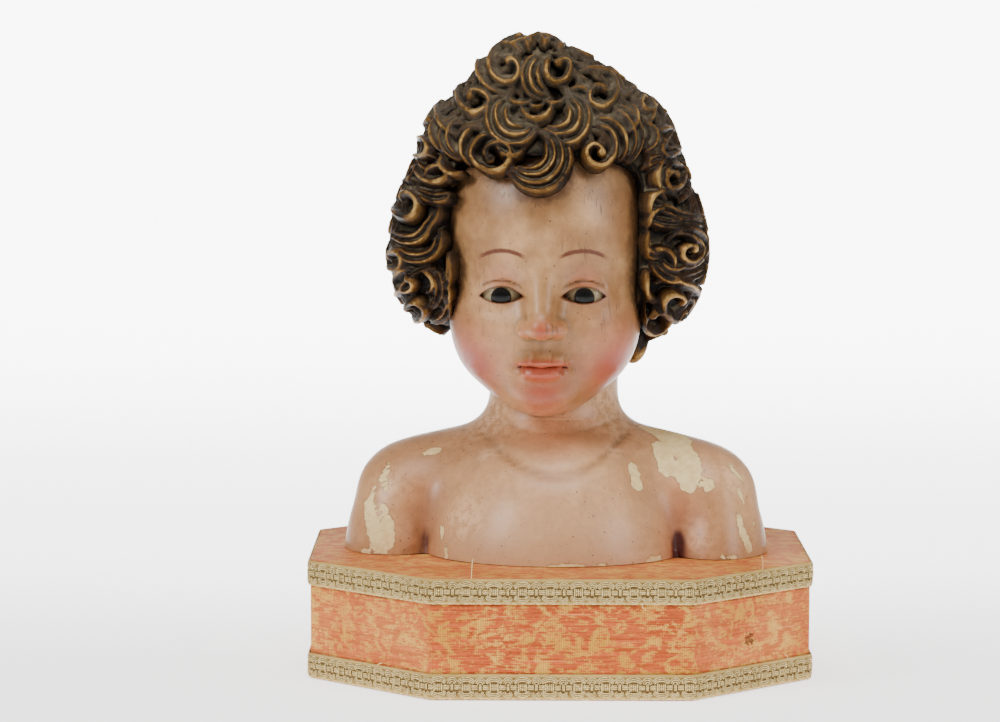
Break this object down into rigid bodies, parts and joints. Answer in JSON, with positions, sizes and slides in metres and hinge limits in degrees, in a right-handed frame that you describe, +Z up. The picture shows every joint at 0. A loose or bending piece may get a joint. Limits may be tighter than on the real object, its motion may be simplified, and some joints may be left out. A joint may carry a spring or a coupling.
{
  "type": "sculpted bust",
  "caption": "Carved and painted wooden bust of a curly-haired child with glass eyes, on a low plinth with cut corners covered in patterned cloth and edged with braid.",
  "frame": {"origin": "middle of the plinth's underside, on the surface that it stands on", "axes": "+Z up, -Y the side that the face looks to, +X to the right of someone facing it"},
  "size_m": [0.269, 0.254, 0.3417],
  "materials": {
    "painted_wood": "gessoed and painted in flesh tones with satin varnish, the hair dark brown with worn gold",
    "eye_glass": "polished, painted behind",
    "plinth_wood": "plain sawn softwood",
    "brocatelle": "faded salmon and ochre figured weave",
    "braid": "matt corded olive-beige gimp"
  },
  "bodies": {
    "root": {"bust": "painted_wood", "eye_left": "eye_glass", "eye_right": "eye_glass", "plinth_block": "plinth_wood", "cloth_top": "brocatelle", "cloth_side": "brocatelle", "braid_top": "braid", "braid_bottom": "braid"}
  },
  "joints": []
}
